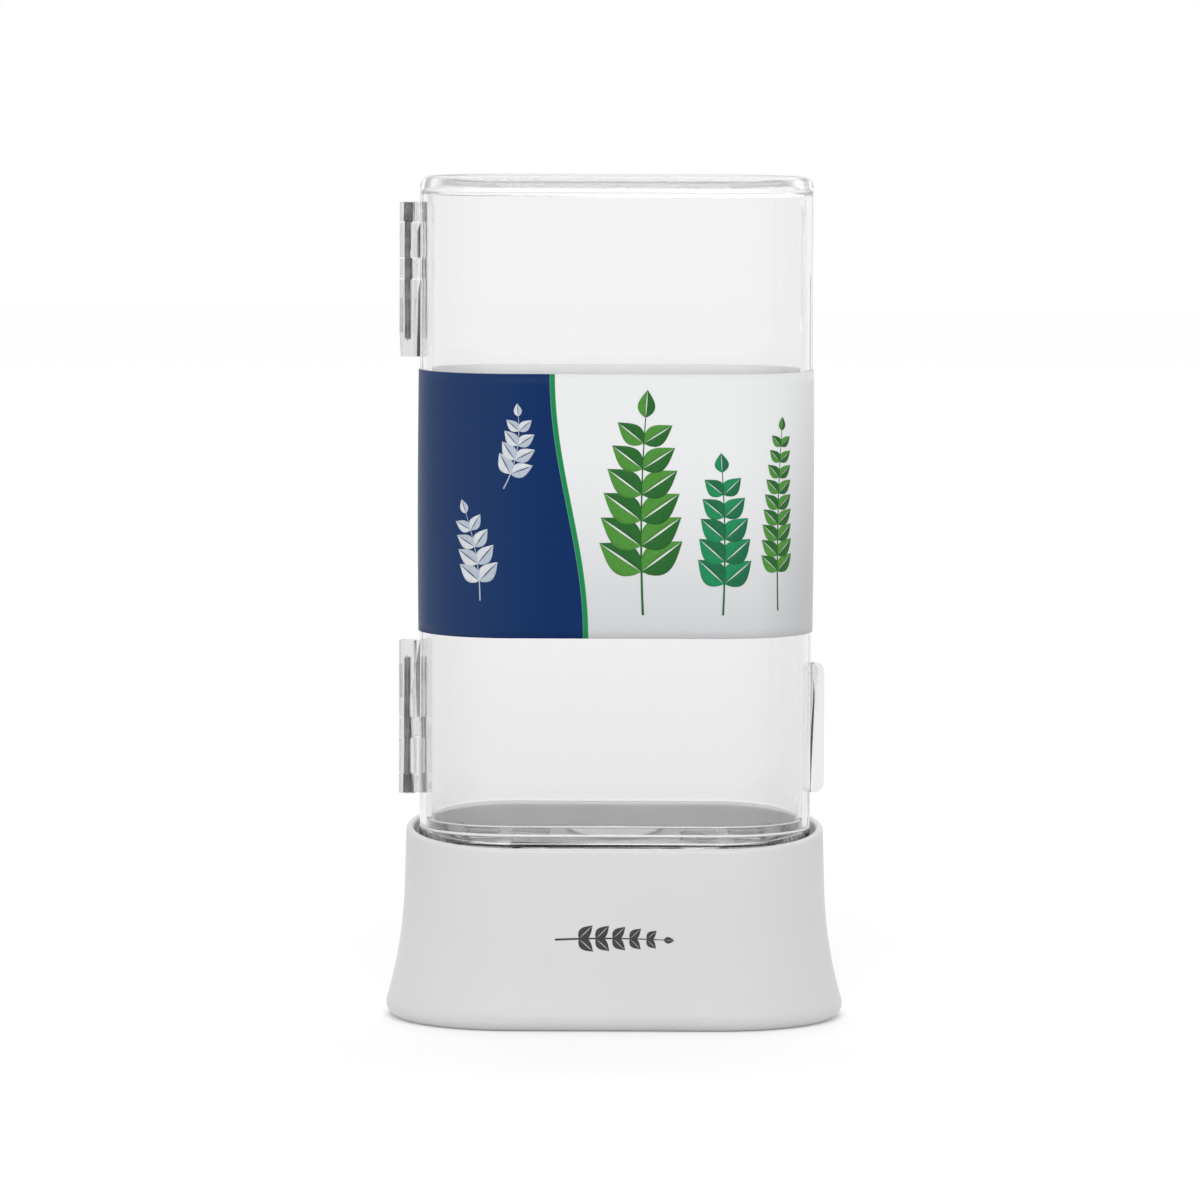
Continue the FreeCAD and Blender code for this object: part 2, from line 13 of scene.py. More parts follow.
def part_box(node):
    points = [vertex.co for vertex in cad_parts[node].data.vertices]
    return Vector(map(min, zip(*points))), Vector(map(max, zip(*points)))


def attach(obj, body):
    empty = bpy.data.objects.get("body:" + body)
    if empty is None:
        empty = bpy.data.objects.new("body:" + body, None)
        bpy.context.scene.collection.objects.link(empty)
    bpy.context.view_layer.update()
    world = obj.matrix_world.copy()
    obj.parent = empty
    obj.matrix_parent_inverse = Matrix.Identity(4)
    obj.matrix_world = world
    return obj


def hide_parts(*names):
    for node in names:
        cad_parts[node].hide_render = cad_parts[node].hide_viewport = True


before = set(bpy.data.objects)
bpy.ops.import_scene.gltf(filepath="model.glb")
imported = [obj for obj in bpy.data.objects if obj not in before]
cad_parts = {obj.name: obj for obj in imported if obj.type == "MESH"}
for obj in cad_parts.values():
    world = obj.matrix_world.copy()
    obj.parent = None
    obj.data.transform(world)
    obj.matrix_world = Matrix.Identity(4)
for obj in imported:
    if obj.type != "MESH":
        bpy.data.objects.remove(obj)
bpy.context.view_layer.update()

# Lengths are in millimetres, and a mesh is scaled to metres as it is made.
MM = 0.001
LOG = logging.getLogger("herb_keeper")

Array = np.ndarray
Triple = tuple[float, float, float]
Colour = Triple
Span = tuple[float, float]
Spot = Span
Material = bpy.types.Material
Piece = bpy.types.Object
Socket = bpy.types.NodeSocket

# Most of a noise lies in this span.
MOST_NOISE: Span = (0.3, 0.7)
# Half the straight between the round ends of the case, the base and the card.
STRAIGHT_HALF = 30.0
# Points in one bend and in one straight of a round.
BEND_STEPS, RUN_STEPS = 40, 16
CARD_THICKNESS = 0.3
INK_THICKNESS = 0.02
# Faces that meet at more than this angle are parted.
SHARP_ANGLE = math.radians(32.0)
# Points of a mesh that lie closer than this, in metres, are joined.
JOINED = 1e-7


class Side(Enum):
    """The front or the back of the case, as the sign of Y."""

    FRONT = -1
    BACK = 1


class Tone(Enum):
    """The two printed halves of a leaf."""

    DARK = 0
    LIGHT = 1


def node_box(node: str) -> tuple[Array, Array]:
    """Return the lowest and highest corner of a CAD node, in millimetres."""
    low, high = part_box(node)
    return np.array(low) / MM, np.array(high) / MM


# Materials


class Nodes:
    """The node tree of a material or a world, built by calls that hand sockets to each other."""

    def __init__(self, name: str, world: bool = False) -> None:
        """Start an empty material, or an empty world, of this name."""
        self.owner = (bpy.data.worlds if world else bpy.data.materials).new(name)
        self.owner.use_nodes = True
        self.tree = self.owner.node_tree
        self.tree.nodes.clear()
        self.output = self.node("OutputWorld" if world else "OutputMaterial")
        self.object_place = self.node("TexCoord").outputs["Object"]

    def feed(self, socket: Socket, value: object) -> None:
        """Link a socket to an output, or set its value.

        Args:
            socket: The socket that takes the value.
            value: An output, a node for its first output, a colour or a number.
        """
        if isinstance(value, bpy.types.Node):
            value = value.outputs[0]
        if isinstance(value, Socket):
            self.tree.links.new(value, socket)
        else:
            socket.default_value = (*value, 1.0) if socket.type == "RGBA" else value

    def node(self, kind: str, *values: object, **named: object) -> bpy.types.Node:
        """Add a node.

        Args:
            kind: The node's type, less the ShaderNode before it.
            values: What goes into its first sockets, in order.
            named: What goes into sockets by name, with an underscore for each space.

        Returns:
            The node.
        """
        node = self.tree.nodes.new(f"ShaderNode{kind}")
        for socket, value in zip(node.inputs, values):
            self.feed(socket, value)
        for name, value in named.items():
            self.feed(node.inputs[name.replace("_", " ")], value)
        return node

    def math(self, operation: str, *values: object) -> Socket:
        """Work out one sum, product or other plain operation.

        Args:
            operation: The operation, as the Math node calls it.
            values: Its numbers or outputs, in order.

        Returns:
            The result.
        """
        node = self.node("Math", *values)
        node.operation = operation
        return node.outputs[0]

    def reach(self, x: object, y: object) -> Socket:
        """Work out sqrt(x^2 + y^2)."""
        squares = [self.math("POWER", side, 2.0) for side in (x, y)]
        return self.math("SQRT", self.math("ADD", *squares))

    def ramp(
        self, value: object, low: float, high: float, start: float = 0.0, end: float = 1.0
    ) -> Socket:
        """Carry a value from one range to another with soft ends.

        Args:
            value: The output or number to carry.
            low: The value that gives the start.
            high: The value that gives the end.
            start: What comes out at and below low.
            end: What comes out at and above high.

        Returns:
            The carried value.
        """
        node = self.node("MapRange", value, low, high, start, end)
        node.interpolation_type = "SMOOTHSTEP"
        return node.outputs["Result"]

    def mix(self, share: object, first: object, second: object) -> Socket:
        """Mix two colours.

        Args:
            share: How much of the second colour, from 0 to 1.
            first: The first colour.
            second: The second colour.

        Returns:
            The mixed colour.
        """
        node = self.node("Mix", share)
        node.data_type = "RGBA"
        # The sockets before these two are for other kinds of value.
        self.feed(node.inputs[6], first)
        self.feed(node.inputs[7], second)
        return node.outputs[2]

    def noise(
        self, scale: float, detail: float = 2.0, stretch: Triple = (1.0, 1.0, 1.0)
    ) -> Socket:
        """Make a noise of so many cells a metre, which may be stretched along an axis."""
        spot = self.node("Mapping", Vector=self.object_place, Scale=stretch).outputs[0]
        return self.node("TexNoise", Vector=spot, Scale=scale, Detail=detail).outputs["Fac"]

    def bump(self, height: Socket, depth: float) -> Socket:
        """Turn a height from 0 to 1 into a normal, with a depth in metres."""
        return self.node("Bump", Height=height, Distance=depth).outputs["Normal"]

    def place(self) -> tuple[Socket, Socket, Socket]:
        """Return the object coordinates in millimetres, as x, y and z."""
        split = self.node("SeparateXYZ", self.object_place).outputs
        return tuple(self.math("MULTIPLY", part, 1.0 / MM) for part in split)

    def seen(self) -> Socket:
        """Return 1 for camera, glossy and transmission rays, and 0 for light that bounces."""
        paths = self.node("LightPath").outputs
        through = self.math("MAXIMUM", paths["Is Glossy Ray"], paths["Is Transmission Ray"])
        return self.math("MAXIMUM", paths["Is Camera Ray"], through)

    def shader(self, **inputs: object) -> bpy.types.Node:
        """Add the Principled shader, with its inputs named as in node."""
        return self.node("BsdfPrincipled", **inputs)

    def finish(self, surface: bpy.types.Node) -> Material | bpy.types.World:
        """Put a shader on the output, and return the material or the world."""
        self.feed(self.output.inputs["Surface"], surface)
        return self.owner


@dataclass(frozen=True)
class ClearPlastic:
    """Polished clear plastic, which lets lamps through and is a little grey.

    The surface has long shallow flow waves from the mould and a faint haze in places, more of it
    on the rounded top. Painted shade darkens its tint a little towards the foot and the rounded
    ends, but not inside the white base, whose rim slopes. The small parts past the case's ends are
    greyer, and the hinge's knuckles more so than the tab. Long ways through the plastic are
    darker.
    """

    name: str = "clear_plastic"
    tint: Colour = (0.950, 0.950, 0.952)
    # Painted shade: the levels and spans of the darkening towards the foot and the rounded ends.
    foot_shade_level: float = 0.933
    foot_shade_span: Span = (50.0, 180.0)
    end_shade_level: float = 0.970
    end_shade_span: Span = (38.0, 58.0)
    rim_slope: float = 0.118
    rim_span: Span = (58.25, 62.25)
    ior: float = 1.46
    wave_scale: float = 22.0
    wave_stretch: Triple = (1.0, 1.0, 0.2)
    wave_depth: float = 0.000012
    depth_tint: Colour = (0.5, 0.5, 0.51)
    depth_density: float = 5.0
    clearness: float = 1.0
    haze_scale: float = 60.0
    haze_span: Span = (0.4, 0.7)
    least_haze: float = 0.01
    most_haze: float = 0.05
    shadow_tint: Colour = (0.98, 0.98, 0.98)
    end_tint: Colour = (0.82, 0.82, 0.825)
    hinge_tint: Colour = (0.74, 0.74, 0.745)
    end_span: Span = (58.2, 58.8)
    top_haze: float = 0.13
    top_span: Span = (244.5, 248.5)

    def make(self) -> Material:
        """Build the material."""
        nodes = Nodes(self.name)
        x, y, z = nodes.place()
        waves = nodes.noise(self.wave_scale, detail=1.0, stretch=self.wave_stretch)
        cloudy = nodes.noise(self.haze_scale, detail=3.0)
        haze = nodes.ramp(cloudy, *self.haze_span, self.least_haze, self.most_haze)
        on_top = nodes.ramp(z, *self.top_span, 0.0, self.top_haze)
        across = nodes.math("ABSOLUTE", x)
        # Painted shade: the tint darkens towards the foot and towards the rounded ends, and the
        # shade at the foot is lifted inside the white base.
        foot_shade = nodes.ramp(z, *self.foot_shade_span, self.foot_shade_level, 1.0)
        over_rim = nodes.math("SUBTRACT", z, nodes.math("MULTIPLY", y, self.rim_slope))
        in_base = nodes.ramp(over_rim, *self.rim_span, 1.0, 0.0)
        end_shade = nodes.ramp(across, *self.end_shade_span, 1.0, self.end_shade_level)
        level = nodes.math("MULTIPLY", nodes.math("MAXIMUM", foot_shade, in_base), end_shade)
        tint = nodes.mix(level, (0.0, 0.0, 0.0), self.tint)
        small = nodes.mix(nodes.math("LESS_THAN", x, 0.0), self.end_tint, self.hinge_tint)
        plastic = nodes.shader(
            Base_Color=nodes.mix(nodes.ramp(across, *self.end_span), tint, small),
            Transmission_Weight=self.clearness,
            IOR=self.ior,
            Roughness=nodes.math("ADD", haze, on_top),
            Normal=nodes.bump(waves, self.wave_depth),
        )
        clear = nodes.node("BsdfTransparent", Color=self.shadow_tint)
        shadow = nodes.node("LightPath").outputs["Is Shadow Ray"]
        inside = nodes.node("VolumeAbsorption", Color=self.depth_tint, Density=self.depth_density)
        nodes.feed(nodes.output.inputs["Volume"], inside)
        return nodes.finish(nodes.node("MixShader", shadow, plastic, clear))


@dataclass(frozen=True)
class MouldedPlastic:
    """Opaque moulded plastic: a satin skin with a fine spark texture and slow shade changes."""

    name: str
    colour: Colour
    smoothest: float = 0.38
    roughest: float = 0.47
    spark_scale: float = 2600.0
    spark_depth: float = 0.000012
    cloud_scale: float = 18.0
    cloud_span: Span = (0.35, 0.65)
    shade: float = 0.97

    def make(self) -> Material:
        """Build the material."""
        nodes = Nodes(self.name)
        sparks = nodes.noise(self.spark_scale)
        clouds = nodes.noise(self.cloud_scale)
        darker = tuple(part * self.shade for part in self.colour)
        plastic = nodes.shader(
            Base_Color=nodes.mix(nodes.ramp(clouds, *self.cloud_span), self.colour, darker),
            Roughness=nodes.ramp(clouds, *MOST_NOISE, self.smoothest, self.roughest),
            Normal=nodes.bump(sparks, self.spark_depth),
        )
        return nodes.finish(plastic)


@dataclass(frozen=True)
class PinSteel:
    """Plain drawn steel with fine lines along the pin and painted shade in the head's grooves."""

    name: str = "pin_steel"
    bright: Colour = (0.34, 0.34, 0.345)
    dull: Colour = (0.17, 0.17, 0.175)
    # The painted shade at the bottoms of the head's grooves.
    painted_groove_shade: Colour = (0.03, 0.03, 0.03)
    smoothest: float = 0.28
    roughest: float = 0.48
    line_scale: float = 900.0
    line_stretch: Triple = (1.0, 1.0, 0.12)
    line_depth: float = 0.00004
    stain_scale: float = 260.0
    stain_span: Span = (0.35, 0.68)
    axis: float = -61.7
    groove_radius: float = 1.12
    head_radius: float = 1.4

    def make(self) -> Material:
        """Build the material."""
        nodes = Nodes(self.name)
        lines = nodes.noise(self.line_scale, detail=3.0, stretch=self.line_stretch)
        stains = nodes.ramp(nodes.noise(self.stain_scale, detail=4.0), *self.stain_span)
        x, y, _ = nodes.place()
        radius = nodes.reach(nodes.math("SUBTRACT", x, self.axis), y)
        # Painted shade: the head's grooves darken towards their bottoms.
        on_head = nodes.math("GREATER_THAN", radius, self.groove_radius)
        depth = nodes.ramp(radius, self.groove_radius, self.head_radius, 1.0, 0.0)
        groove_shade = nodes.math("MULTIPLY", on_head, depth)
        steel = nodes.shader(
            Base_Color=nodes.mix(groove_shade, nodes.mix(stains, self.bright, self.dull), self.painted_groove_shade),
            Metallic=1.0,
            Roughness=nodes.ramp(lines, *MOST_NOISE, self.smoothest, self.roughest),
            Normal=nodes.bump(lines, self.line_depth),
        )
        return nodes.finish(steel)


@dataclass(frozen=True)
class CoatedCard:
    """Smooth card: pale grey inside, and printed outside in navy, green and a grey that fades.

    The navy field ends at a long wave, x = middle + swing * cos(pi * (z - bottom) / height).
    A green line follows the wave, and the pale field darkens towards the right and the foot. The
    print is on what lies farther out than the skin's radius, which swells as the card does.
    """

    bottom: float
    height: float
    skin_radius: float
    bulge: float
    name: str = "printed_card"
    board: Colour = (0.93, 0.93, 0.93)
    navy: Colour = (0.002, 0.028, 0.130)
    navy_light: Colour = (0.022, 0.052, 0.145)
    navy_span: Span = (-60.0, -15.0)
    green: Colour = (0.012, 0.275, 0.085)
    pale: Colour = (0.93, 0.94, 0.945)
    grey: Colour = (0.64, 0.655, 0.67)
    fade_span: Span = (0.25, 1.3)
    edge_fade: float = 0.35
    edge_span: Span = (40.0, 60.0)
    middle: float = -14.5
    swing: float = 5.0
    back_edge: float = -36.0
    line_width: float = 1.5
    edge_blur: float = 0.12
    fibre_scale: float = 1500.0
    fibre_depth: float = 0.00001
    smoothest: float = 0.36
    roughest: float = 0.46
    gloss: float = 0.1

    def make(self) -> Material:
        """Build the material."""
        nodes = Nodes(self.name)
        x, y, z = nodes.place()
        rise = nodes.math("DIVIDE", nodes.math("SUBTRACT", z, self.bottom), self.height)
        arch = nodes.math("MULTIPLY", rise, math.pi)
        behind = nodes.math("GREATER_THAN", y, 0.0)
        swung = nodes.math("MULTIPLY", nodes.math("COSINE", arch), self.swing)
        front_edge = nodes.math("ADD", swung, self.middle)
        to_back = nodes.math("SUBTRACT", self.back_edge, front_edge)
        edge = nodes.math("ADD", front_edge, nodes.math("MULTIPLY", behind, to_back))
        past = nodes.math("SUBTRACT", x, edge)
        to_foot = nodes.math("SUBTRACT", 1.0, rise)
        to_edge = nodes.ramp(x, *self.edge_span, 0.0, self.edge_fade)
        fade = nodes.ramp(nodes.math("ADD", to_foot, to_edge), *self.fade_span)
        paper = nodes.mix(fade, self.pale, self.grey)
        depths = nodes.mix(nodes.ramp(x, *self.navy_span), self.navy_light, self.navy)
        printed = nodes.mix(nodes.ramp(past, -self.edge_blur, self.edge_blur), depths, paper)
        half_line = self.line_width / 2
        from_line = nodes.math("ABSOLUTE", nodes.math("SUBTRACT", past, half_line))
        blurred = (half_line - self.edge_blur, half_line + self.edge_blur)
        on_line = nodes.ramp(from_line, *blurred, 1.0, 0.0)
        in_front = nodes.math("SUBTRACT", 1.0, behind)
        lined = nodes.mix(nodes.math("MULTIPLY", on_line, in_front), printed, self.green)
        past_straight = nodes.math("SUBTRACT", nodes.math("ABSOLUTE", x), STRAIGHT_HALF)
        reach = nodes.reach(nodes.math("MAXIMUM", past_straight, 0.0), y)
        swell = nodes.math("MULTIPLY", nodes.math("SINE", arch), self.bulge)
        skin = nodes.math("ADD", swell, self.skin_radius)
        fibres = nodes.noise(self.fibre_scale, detail=4.0)
        card = nodes.shader(
            Base_Color=nodes.mix(nodes.math("GREATER_THAN", reach, skin), self.board, lined),
            Roughness=nodes.ramp(fibres, *MOST_NOISE, self.smoothest, self.roughest),
            Specular_IOR_Level=self.gloss,
            Normal=nodes.bump(fibres, self.fibre_depth),
        )
        return nodes.finish(card)


@dataclass(frozen=True)
class PrintInk:
    """A flat printed ink with a faint mottle."""

    name: str
    colour: Colour
    roughness: float = 0.4
    gloss: float = 0.2
    shade: float = 0.88
    mottle_scale: float = 900.0
    mottle_depth: float = 0.000004

    def make(self) -> Material:
        """Build the material."""
        nodes = Nodes(self.name)
        mottle = nodes.noise(self.mottle_scale, detail=3.0)
        darker = tuple(part * self.shade for part in self.colour)
        ink = nodes.shader(
            Base_Color=nodes.mix(nodes.ramp(mottle, *MOST_NOISE), self.colour, darker),
            Roughness=self.roughness,
            Specular_IOR_Level=self.gloss,
            Normal=nodes.bump(mottle, self.mottle_depth),
        )
        return nodes.finish(ink)


# Meshes


def grid_faces(rows: int, columns: int, closed: bool) -> Array:
    """List the quads of a grid of points, row by row.

    Args:
        rows: The number of rows.
        columns: The number of points in a row.
        closed: Whether each row's last point joins its first.

    Returns:
        One line of four point numbers for each face.
    """
    across = columns if closed else columns - 1
    row, column = np.meshgrid(np.arange(rows - 1), np.arange(across), indexing="ij")
    following = (column + 1) % columns
    corners = (
        row * columns + column,
        row * columns + following,
        (row + 1) * columns + following,
        (row + 1) * columns + column,
    )
    return np.stack([corner.ravel() for corner in corners], axis=1)


def mesh_piece(
    name: str, points: Array, faces: Array, materials: Sequence[Material], tidy: bool = True
) -> Piece:
    """Make an object from points in millimetres and quads.

    Args:
        name: The piece's name.
        points: The points, one line each.
        faces: The quads, one line of point numbers each.
        materials: The piece's materials, in slot order.
        tidy: Whether to join doubled points and turn the faces outwards.

    Returns:
        The object, at the origin.
    """
    mesh = bpy.data.meshes.new(name)
    mesh.from_pydata((points.reshape(-1, 3) * MM).tolist(), [], faces.tolist())
    if tidy:
        build = bmesh.new()
        build.from_mesh(mesh)
        bmesh.ops.remove_doubles(build, verts=build.verts, dist=JOINED)
        bmesh.ops.dissolve_degenerate(build, edges=build.edges, dist=JOINED / 10)
        bmesh.ops.recalc_face_normals(build, faces=build.faces)
        build.to_mesh(mesh)
        build.free()
    return dressed(name, mesh, materials)


def grid_piece(name: str, points: Array, material: Material, closed: bool = True) -> Piece:
    """Make an object from a grid of points in millimetres, whose rows may be closed."""
    faces = grid_faces(*points.shape[:2], closed)
    return mesh_piece(name, points, faces, [material])


def dressed(name: str, mesh: bpy.types.Mesh, materials: Sequence[Material]) -> Piece:
    """Put a mesh in the scene with smooth faces, parted where they meet at a sharp angle.

    Args:
        name: The piece's name.
        mesh: The mesh.
        materials: The piece's materials, in slot order.

    Returns:
        The object, at the origin.
    """
    mesh.polygons.foreach_set("use_smooth", np.ones(len(mesh.polygons), dtype=bool))
    mesh.set_sharp_from_angle(angle=SHARP_ANGLE)
    for material in materials:
        mesh.materials.append(material)
    piece = bpy.data.objects.new(name, mesh)
    bpy.context.scene.collection.objects.link(piece)
    return piece


def merged_copy(node: str, name: str, material: Material) -> Piece:
    """Copy a CAD node's mesh with its points joined, so that its curves shade smoothly.

    Args:
        node: The CAD node.
        name: The new piece's name.
        material: The piece's material.

    Returns:
        The new piece.
    """
    build = bmesh.new()
    build.from_mesh(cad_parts[node].data)
    bmesh.ops.remove_doubles(build, verts=build.verts, dist=2 * JOINED)
    mesh = bpy.data.meshes.new(name)
    build.to_mesh(mesh)
    build.free()
    piece = dressed(name, mesh, [material])
    weighted = piece.modifiers.new("face_weight", "WEIGHTED_NORMAL")
    weighted.keep_sharp = True
    return piece


def hold(piece: Piece, body: str, slot: str, *nodes: str) -> None:
    """Tie a piece to its body, and let it stand for CAD nodes if any are named.

    Args:
        piece: The piece.
        body: The CAD body that it moves with.
        slot: The record's material slot; not used.
        nodes: The CAD nodes that it replaces.
    """
    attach(piece, body)
    if nodes:
        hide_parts(*nodes)
    LOG.info("%s: %d faces on %s", piece.name, len(piece.data.polygons), body)


def arc(centre: Spot, radius: float, start: float, end: float, steps: int) -> Array:
    """Draw an arc: a point is centre + radius * (cos a, sin a), with a from start to end."""
    angle = np.linspace(start, end, steps)
    return centre + radius * np.stack([np.cos(angle), np.sin(angle)], axis=1)


def turned(profile: Array, steps: int) -> Array:
    """Turn a profile round the upright axis: a point is (r cos a, r sin a, z), for a full turn.

    Args:
        profile: Radius and height, one line each.
        steps: The number of points round the axis.

    Returns:
        Points by profile line and by step.
    """
    angle = np.linspace(0.0, 2 * np.pi, steps, endpoint=False)
    height = np.repeat(profile[:, 1:], steps, axis=1)
    return swept(0.0, angle, profile[:, :1], height)


def stadium_round() -> tuple[Array, Array]:
    """Go once round a stadium: where the local centre is, and which way is out.

    Returns:
        The centre's x and the turn angle, step by step.
    """
    bend = np.linspace(-np.pi / 2, np.pi / 2, BEND_STEPS, endpoint=False)
    run = np.linspace(STRAIGHT_HALF, -STRAIGHT_HALF, RUN_STEPS, endpoint=False)
    ends = np.full(BEND_STEPS, STRAIGHT_HALF)
    back = np.full(RUN_STEPS, np.pi / 2)
    centre = np.concatenate([ends, run, -ends, -run])
    return centre, np.concatenate([bend, back, bend + np.pi, -back])


def swept(centre: float | Array, turn: Array, reach: Array, height: Array) -> Array:
    """Place points at (centre + reach * cos turn, reach * sin turn, height)."""
    return np.stack([centre + reach * np.cos(turn), reach * np.sin(turn), height], axis=-1)


def thicken(piece: Piece, name: str, thickness: float) -> bpy.types.Modifier:
    """Give a sheet a thickness inwards from its face.

    Args:
        piece: The sheet.
        name: The modifier's name.
        thickness: The thickness in millimetres.

    Returns:
        The modifier.
    """
    solid = piece.modifiers.new(name, "SOLIDIFY")
    solid.thickness = thickness * MM
    solid.offset = -1.0
    return solid


# Printed motifs


@dataclass(frozen=True)
class Film:
    """A printed drawing: its points, its quads and each quad's tone."""

    points: Array
    faces: Array
    tones: Array

    @staticmethod
    def joined(films: Sequence["Film"]) -> "Film":
        """Put several drawings into one.

        Args:
            films: The drawings, in order.

        Returns:
            The one drawing.
        """
        starts = np.cumsum([0, *(len(film.points) for film in films[:-1])])
        return Film(
            np.concatenate([film.points for film in films]),
            np.concatenate([film.faces + start for film, start in zip(films, starts)]),
            np.concatenate([film.tones for film in films]),
        )

    def piece(self, name: str, inks: Sequence[Material]) -> Piece:
        """Make a film of ink that lies just proud of its surface.

        Args:
            name: The piece's name.
            inks: The inks by tone, or one ink for all.

        Returns:
            The film.
        """
        piece = mesh_piece(name, self.points, self.faces, inks, tidy=False)
        slots = np.minimum(self.tones, len(inks) - 1).astype(np.int32)
        piece.data.polygons.foreach_set("material_index", slots)
        thicken(piece, "film", INK_THICKNESS)
        return piece


@dataclass(frozen=True)
class Sprig:
    """A plain sprig: a bent stem with pairs of leaves that shrink to a single one at its tip.

    Angles are in radians, and lean is the stem's own from level. The stem turns by bend on its
    way, and a leaf stands off it by spread. A leaf's half width is plump and half the gap between
    its halves is midrib, as shares of its length. The stem loses taper of its width, the first
    pair is at first, and the last leaf is shorter by shrink. Each leaf lies a layer higher.
    """

    root: Spot
    lean: float
    length: float
    leaf: float
    pairs: int
    bend: float = 0.3
    stem_width: float = 0.7
    spread: float = 0.85
    plump: float = 0.33
    midrib: float = 0.02
    taper: float = 0.6
    first: float = 0.22
    shrink: float = 0.45
    layer_step: float = 0.003
    stem_steps: int = 24
    leaf_steps: int = 14
    leaf_rows: int = 4

    def along(self, share: Array) -> tuple[Array, Array]:
        """Follow the stem, whose direction turns evenly with length.

        Args:
            share: Places on the stem, from 0 to 1.

        Returns:
            The points and the directions.
        """
        turn = self.lean + self.bend * share
        radius = self.length / self.bend
        x = self.root[0] + radius * (np.sin(turn) - math.sin(self.lean))
        z = self.root[1] - radius * (np.cos(turn) - math.cos(self.lean))
        return np.stack([x, z], axis=-1), turn

    def leaf_half(self, start: Array, angle: float, size: float, tone: Tone) -> Array:
        """Draw one half of a leaf on a grid of points.

        Its half width is size * plump * sin(pi t^0.8) * (1 - 0.15 t), with t from base to tip.

        Args:
            start: The leaf's base.
            angle: The leaf's direction.
            size: The leaf's length.
            tone: Which side of the midrib the half is on.

        Returns:
            The points, by place across and along.
        """
        t = np.linspace(0.0, 1.0, self.leaf_steps)
        width = size * self.plump * np.sin(np.pi * t**0.8) * (1.0 - 0.15 * t)
        inner = self.midrib * size * np.sin(np.pi * t)
        share = np.linspace(0.0, 1.0, self.leaf_rows)[:, None]
        side = 1.0 if tone is Tone.LIGHT else -1.0
        across = side * (inner + share * np.maximum(width - inner, 0.0))
        forward = np.broadcast_to(size * t, across.shape)
        x = start[0] + forward * math.cos(angle) - across * math.sin(angle)
        z = start[1] + forward * math.sin(angle) + across * math.cos(angle)
        return np.stack([x, z], axis=-1)

    def part(self, grid: Array, tone: Tone, layer: int) -> Film:
        """Turn one grid of the drawing into quads that face out.

        Args:
            grid: The points, which run to the light side or to the dark one.
            tone: The side that they run to, and their ink.
            layer: How many leaves lie under it.

        Returns:
            Points along, up and by layer, with the quads and their tones.
        """
        quads = grid_faces(*grid.shape[:2], closed=False)
        flat = grid.reshape(-1, 2)
        points = np.column_stack([flat, np.full(len(flat), layer * self.layer_step)])
        facing = quads[:, ::-1] if tone is Tone.LIGHT else quads
        return Film(points, facing, np.full(len(quads), tone.value))

    def drawing(self) -> Film:
        """Draw the stem and all its leaves, each a layer over the leaf before it."""
        share = np.linspace(0.0, 1.0, self.stem_steps)
        line, turn = self.along(share)
        half = self.stem_width / 2 * (1.0 - self.taper * share)
        sideways = np.stack([-np.sin(turn), np.cos(turn)], axis=-1) * half[:, None]
        parts = [self.part(np.stack([line + sideways, line - sideways]), Tone.DARK, 0)]
        for pair in range(self.pairs + 1):
            grown = pair / self.pairs
            at = self.first + (1.0 - self.first) * grown
            (start,), (heading,) = self.along(np.array([at]))
            size = self.leaf * (1.0 - self.shrink * grown**1.5)
            sides = (0.0,) if pair == self.pairs else (-self.spread, self.spread)
            for number, side in enumerate(sides, start=1):
                for tone in Tone:
                    half_leaf = self.leaf_half(start, heading + side, size, tone)
                    parts.append(self.part(half_leaf, tone, 2 * pair + number))
        return Film.joined(parts)


# White base


@dataclass(frozen=True)
class VesselSection:
    """Half a section of the base: a straight neck, a hollow flare and a round foot.

    The flare's circle leaves the neck's line and touches the foot's circle from outside.
    """

    rim: float
    neck: float
    foot: float
    floor: float
    corner: float
    top: float = 64.5
    neck_height: float = 38.0

    def flare(self) -> tuple[Array, float, Array, float]:
        """Fit the flare's circle to the neck and the foot.

        Returns:
            The flare's centre and radius, the foot's centre, and the angle where they meet.
        """
        start = np.array([self.neck, self.neck_height])
        along = start - np.array([self.rim, self.top])
        outward = np.array([-along[1], along[0]]) / np.hypot(*along)
        foot_centre = np.array([self.foot - self.corner, self.floor + self.corner])
        offset = start - foot_centre
        radius = (offset @ offset - self.corner**2) / (2 * (self.corner - offset @ outward))
        centre = start + radius * outward
        between = centre - foot_centre
        return centre, radius, foot_centre, math.atan2(between[1], between[0])

    def radius_at(self, height: Array) -> Array:
        """Work out the radius above the foot's arc.

        Args:
            height: The heights.

        Returns:
            The radius at each.
        """
        centre, radius, _, _ = self.flare()
        share = (self.top - height) / (self.top - self.neck_height)
        on_neck = self.rim + (self.neck - self.rim) * share
        on_flare = centre[0] - np.sqrt(np.maximum(radius**2 - (height - centre[1]) ** 2, 0.0))
        return np.where(height >= self.neck_height, on_neck, on_flare)

    def foot_arc(self, steps: int = 14) -> Array:
        """Return the foot's arc from below to where the flare begins, as radius and height."""
        _, _, centre, meeting = self.flare()
        return arc(centre, self.corner, -np.pi / 2, meeting, steps)


